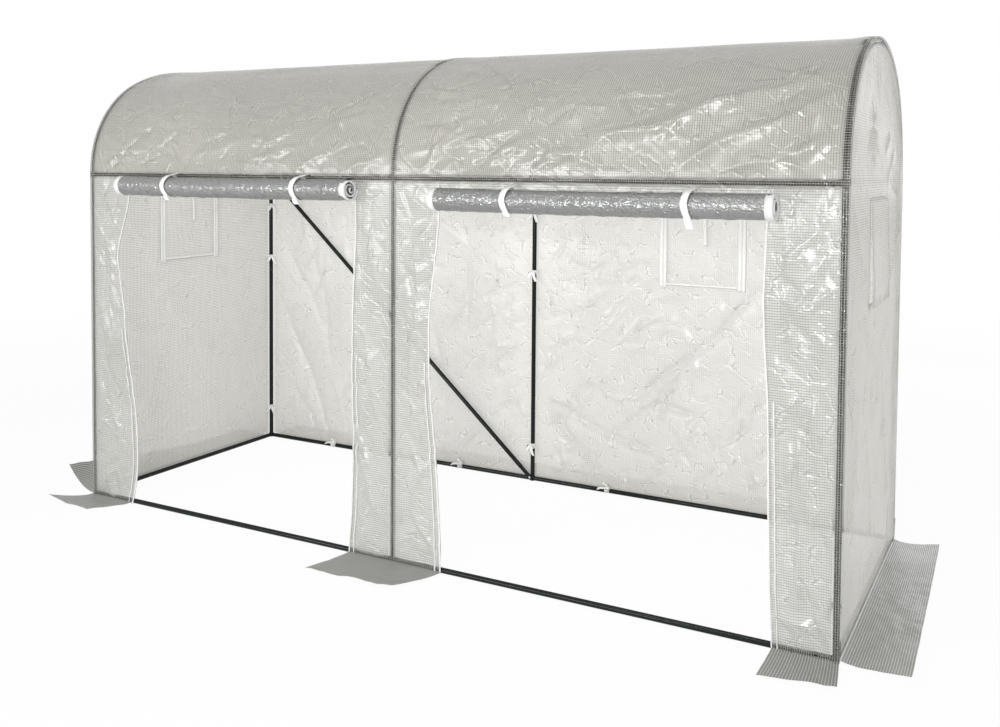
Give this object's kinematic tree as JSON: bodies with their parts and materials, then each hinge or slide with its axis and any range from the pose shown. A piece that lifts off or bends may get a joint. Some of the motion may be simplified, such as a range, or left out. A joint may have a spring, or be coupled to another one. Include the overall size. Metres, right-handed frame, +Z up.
{
  "type": "tunnel greenhouse",
  "caption": "Walk-in greenhouse: arched dark tube frame under translucent reinforced film, with rolled-up front doors, flap windows and skirts that lie on the ground.",
  "frame": {"origin": "middle of the footprint, on the ground", "axes": "+X along the length, towards the right end seen from the front; +Y from the doors to the back wall; +Z up"},
  "size_m": [3.4046, 1.4946, 1.8096],
  "materials": {
    "frame_tube": "gloss",
    "connector": "satin",
    "cover_film": "gloss",
    "rolled_film": "gloss",
    "skirt_film": "gloss",
    "white_webbing": "matte"
  },
  "bodies": {
    "root": {"front_left_sill": "frame_tube", "front_right_sill": "frame_tube", "back_left_sill": "frame_tube", "back_right_sill": "frame_tube", "left_end_sill": "frame_tube", "right_end_sill": "frame_tube", "front_left_post": "frame_tube", "front_middle_post": "frame_tube", "front_right_post": "frame_tube", "back_left_post": "frame_tube", "back_middle_post": "frame_tube", "back_right_post": "frame_tube", "front_left_eave": "frame_tube", "front_right_eave": "frame_tube", "back_left_eave": "frame_tube", "back_right_eave": "frame_tube", "left_ridge": "frame_tube", "right_ridge": "frame_tube", "left_arch": "frame_tube", "middle_arch": "frame_tube", "right_arch": "frame_tube", "back_brace": "frame_tube", "sill_connectors": "connector", "eave_connectors": "connector", "ridge_connectors": "connector", "roof_sheet": "cover_film", "back_wall_sheet": "cover_film", "left_end_sheet": "cover_film", "right_end_sheet": "cover_film", "front_left_strip": "cover_film", "front_middle_strip": "cover_film", "front_right_strip": "cover_film", "left_door_header": "cover_film", "right_door_header": "cover_film", "back_windows": "cover_film", "left_window": "cover_film", "right_window": "cover_film", "left_door_roll": "rolled_film", "right_door_roll": "rolled_film", "front_skirts": "skirt_film", "back_skirt": "skirt_film", "left_skirt": "skirt_film", "right_skirt": "skirt_film", "door_ties": "white_webbing", "cover_ties": "white_webbing"}
  },
  "joints": []
}
